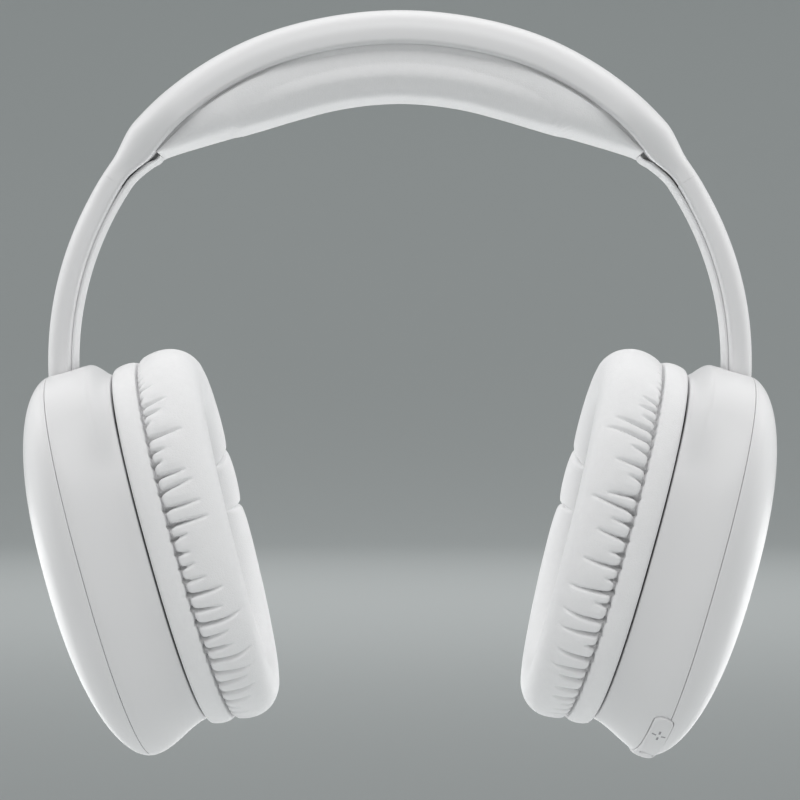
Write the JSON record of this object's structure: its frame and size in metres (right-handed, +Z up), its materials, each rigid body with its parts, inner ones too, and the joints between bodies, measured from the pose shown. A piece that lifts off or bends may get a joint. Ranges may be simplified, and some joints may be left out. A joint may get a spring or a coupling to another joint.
{
  "type": "over ear headphones",
  "caption": "Wireless over-ear headphones: padded sprung headband, arms that slide out of it, tilting oval cups with leatherette ear cushions and a button strip under one cup.",
  "frame": {"origin": "middle of the head pad's underside, where the wearer's head carries the headphones", "axes": "+X towards the wearer's right ear, +Y the way the wearer faces, +Z up"},
  "size_m": [0.178, 0.078, 0.1783],
  "materials": {
    "white_shell": "satin moulded ABS",
    "white_cover": "satin moulded ABS",
    "white_leatherette": "soft protein leather over foam",
    "soft_liner": "soft-touch moulding",
    "steel": "stamped stainless steel",
    "grey_plastic": "moulded nylon",
    "plated_magnet": "nickel plated",
    "driver_film": "thin polyester film",
    "acoustic_cloth": "fine woven mesh",
    "circuit_board": "coated laminate",
    "battery_cell": "foil pouch",
    "button_rubber": "soft-touch silicone"
  },
  "bodies": {
    "headband": {"headband_shell": "white_shell", "headband_inner_plate": "grey_plastic", "spring_steel_strip": "steel", "head_pad": "white_leatherette", "left_slider_guide": "grey_plastic", "left_detent_spring": "steel", "right_slider_guide": "grey_plastic", "right_detent_spring": "steel"},
    "left_arm": {"left_arm_shell": "white_shell", "left_arm_liner": "soft_liner", "left_arm_slider": "steel", "left_arm_foot": "grey_plastic"},
    "right_arm": {"right_arm_shell": "white_shell", "right_arm_liner": "soft_liner", "right_arm_slider": "steel", "right_arm_foot": "grey_plastic"},
    "left_cup": {"left_acoustic_cloth": "acoustic_cloth", "left_baffle": "grey_plastic", "left_baffle_screw_1": "steel", "left_baffle_screw_2": "steel", "left_baffle_screw_3": "steel", "left_cup_shell": "white_shell", "left_cushion_ring": "grey_plastic", "left_driver_film": "driver_film", "left_driver_frame": "grey_plastic", "left_driver_grille": "grey_plastic", "left_driver_magnet": "plated_magnet", "left_ear_cushion": "white_leatherette", "left_outer_cover": "white_cover", "left_pivot_bracket": "grey_plastic", "left_pivot_pin": "steel", "battery": "battery_cell"},
    "right_cup": {"right_acoustic_cloth": "acoustic_cloth", "right_baffle": "grey_plastic", "right_baffle_screw_1": "steel", "right_baffle_screw_2": "steel", "right_baffle_screw_3": "steel", "right_cup_shell": "white_shell", "right_cushion_ring": "grey_plastic", "right_driver_film": "driver_film", "right_driver_frame": "grey_plastic", "right_driver_grille": "grey_plastic", "right_driver_magnet": "plated_magnet", "right_ear_cushion": "white_leatherette", "right_outer_cover": "white_cover", "right_pivot_bracket": "grey_plastic", "right_pivot_pin": "steel", "main_board": "circuit_board", "switch_strip": "circuit_board", "tact_switch_plus": "grey_plastic", "tact_switch_power": "grey_plastic", "tact_switch_minus": "grey_plastic", "usb_port": "steel", "aux_jack": "grey_plastic", "microphone": "plated_magnet"},
    "volume_rocker": {"volume_rocker": "button_rubber"},
    "power_button": {"power_button": "button_rubber"}
  },
  "joints": [
    {"name": "left_arm_slide", "type": "hinge", "parent": "headband", "child": "left_arm", "pos_m": [-0.0025, 0, -0.0627], "axis": [0, -1, 0], "range_deg": [0, 15]},
    {"name": "right_arm_slide", "type": "hinge", "parent": "headband", "child": "right_arm", "pos_m": [0.0025, 0, -0.0627], "axis": [0, 1, 0], "range_deg": [0, 15]},
    {"name": "left_cup_tilt", "type": "hinge", "parent": "left_arm", "child": "left_cup", "pos_m": [-0.07992, 0, -0.07221], "axis": [0, 1, 0], "range_deg": [-6, 6]},
    {"name": "right_cup_tilt", "type": "hinge", "parent": "right_arm", "child": "right_cup", "pos_m": [0.07992, 0, -0.07221], "axis": [0, -1, 0], "range_deg": [-6, 6]},
    {"name": "volume_rock", "type": "hinge", "parent": "right_cup", "child": "volume_rocker", "pos_m": [0.05841, -0.01318, -0.15224], "axis": [0.9632, 0, -0.2689], "range_deg": [-1.5, 1.5], "stiffness_Nm_per_rad": 0.6},
    {"name": "power_press", "type": "slide", "parent": "right_cup", "child": "power_button", "axis": [0.255, 0.3178, 0.9132], "range_m": [0, 0.0005], "stiffness_N_per_m": 1500}
  ]
}
